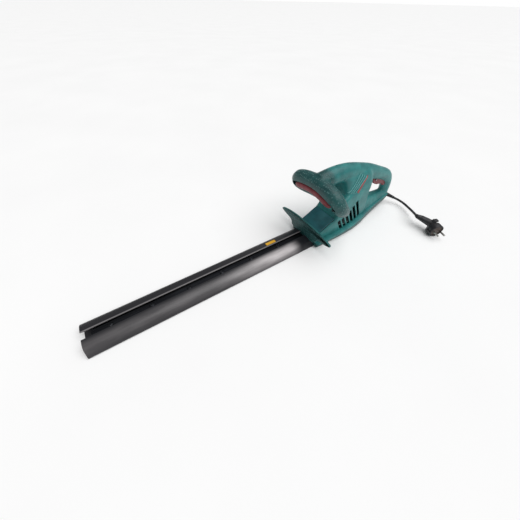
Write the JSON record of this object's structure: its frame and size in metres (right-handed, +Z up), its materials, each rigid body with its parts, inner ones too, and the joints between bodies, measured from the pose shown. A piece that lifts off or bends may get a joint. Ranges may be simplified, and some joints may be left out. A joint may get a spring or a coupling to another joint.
{
  "type": "electric hedge trimmer",
  "caption": "Corded hedge trimmer: double-sided blade in a slotted scabbard, hand guard, wrap-around front handle, closed rear grip, trigger and short plug lead.",
  "frame": {"origin": "on the floor, under the middle of the tool's length and width, cord and plug left out", "axes": "+X towards the blade tip, +Y to the tool's left side, +Z up"},
  "size_m": [0.9055, 0.3102, 0.1894],
  "materials": {
    "green_plastic": "moulded, fine spark-eroded grain",
    "deck_plastic": "moulded, satin",
    "red_plastic": "moulded, satin",
    "sheath_plastic": "extruded, satin with handling marks",
    "yellow_patch": "plain film",
    "blade_steel": "ground",
    "fastener_steel": "zinc plated",
    "cast_alloy": "die cast",
    "gear_nylon": "moulded",
    "shaft_steel": "ground",
    "bush_bronze": "sintered",
    "copper_winding": "varnished",
    "field_iron": "stacked laminations",
    "black_plastic": "moulded",
    "carbon": "pressed",
    "capacitor_film": "moulded",
    "cord_rubber": "satin",
    "plated_brass": "nickel plated"
  },
  "bodies": {
    "housing": {"base_tray": "green_plastic", "housing_left": "green_plastic", "housing_right": "green_plastic", "deck_cover": "deck_plastic", "hand_guard": "green_plastic", "guide_bar": "blade_steel", "blade_bolt_1": "fastener_steel", "blade_bolt_2": "fastener_steel", "blade_bolt_3": "fastener_steel", "blade_bolt_4": "fastener_steel", "blade_bolt_5": "fastener_steel", "blade_bolt_6": "fastener_steel", "blade_cradle": "cast_alloy", "trigger_pin": "fastener_steel", "gear_frame": "cast_alloy", "cam_bush_lower": "bush_bronze", "cam_bush_upper": "bush_bronze", "housing_screw_1": "fastener_steel", "housing_screw_2": "fastener_steel", "housing_screw_3": "fastener_steel", "housing_screw_4": "fastener_steel", "base_screw_1": "fastener_steel", "base_screw_2": "fastener_steel", "base_screw_3": "fastener_steel", "base_screw_4": "fastener_steel", "motor_field": "field_iron", "motor_bearing_lower": "shaft_steel", "motor_bearing_upper": "shaft_steel", "carbon_brush_left": "carbon", "carbon_brush_right": "carbon", "brush_holder_left": "bush_bronze", "brush_holder_right": "bush_bronze", "rear_microswitch": "black_plastic", "front_microswitch": "black_plastic", "suppressor_capacitor": "capacitor_film", "trigger_spring": "fastener_steel", "cord_sleeve": "cord_rubber", "cord": "cord_rubber", "plug_body": "cord_rubber", "plug_pin_a": "plated_brass", "plug_pin_b": "plated_brass", "cord_clamp": "black_plastic"},
    "scabbard": {"sheath": "sheath_plastic", "sheath_patch": "yellow_patch"},
    "lower_blade": {"lower_blade": "blade_steel"},
    "upper_blade": {"upper_blade": "blade_steel"},
    "cam": {"drive_gear": "gear_nylon", "cam_shaft": "shaft_steel"},
    "rotor": {"armature": "copper_winding", "cooling_fan": "black_plastic"},
    "switch_bar": {"switch_bar": "red_plastic"},
    "trigger": {"trigger": "red_plastic"}
  },
  "joints": [
    {"name": "scabbard_slide", "type": "slide", "parent": "housing", "child": "scabbard", "axis": [1, 0, 0], "range_m": [0, 0.56]},
    {"name": "lower_blade_slide", "type": "slide", "parent": "housing", "child": "lower_blade", "axis": [1, 0, 0], "range_m": [-0.0065, 0.0065]},
    {"name": "upper_blade_slide", "type": "slide", "parent": "housing", "child": "upper_blade", "axis": [1, 0, 0], "range_m": [-0.0065, 0.0065]},
    {"name": "cam_spin", "type": "hinge", "parent": "housing", "child": "cam", "pos_m": [-0.172, 0, 0.02], "axis": [0, 0, 1], "continuous": true},
    {"name": "armature_spin", "type": "hinge", "parent": "housing", "child": "rotor", "pos_m": [-0.212, 0, 0.08], "axis": [0, 0, 1], "continuous": true},
    {"name": "switch_bar_press", "type": "slide", "parent": "housing", "child": "switch_bar", "axis": [-0.4983, 0, 0.867], "range_m": [0, 0.004], "stiffness_N_per_m": 1500, "springref_m": -0.004},
    {"name": "trigger_squeeze", "type": "hinge", "parent": "housing", "child": "trigger", "pos_m": [-0.328, 0, 0.111], "axis": [0, 1, 0], "range_deg": [0, 8], "stiffness_Nm_per_rad": 3, "springref_deg": -8.59, "deforming": ["trigger_spring"]}
  ],
  "couplings": [
    {"joint": "upper_blade_slide", "follows": "lower_blade_slide", "ratio": -1},
    {"joint": "armature_spin", "follows": "cam_spin", "ratio": -7}
  ]
}
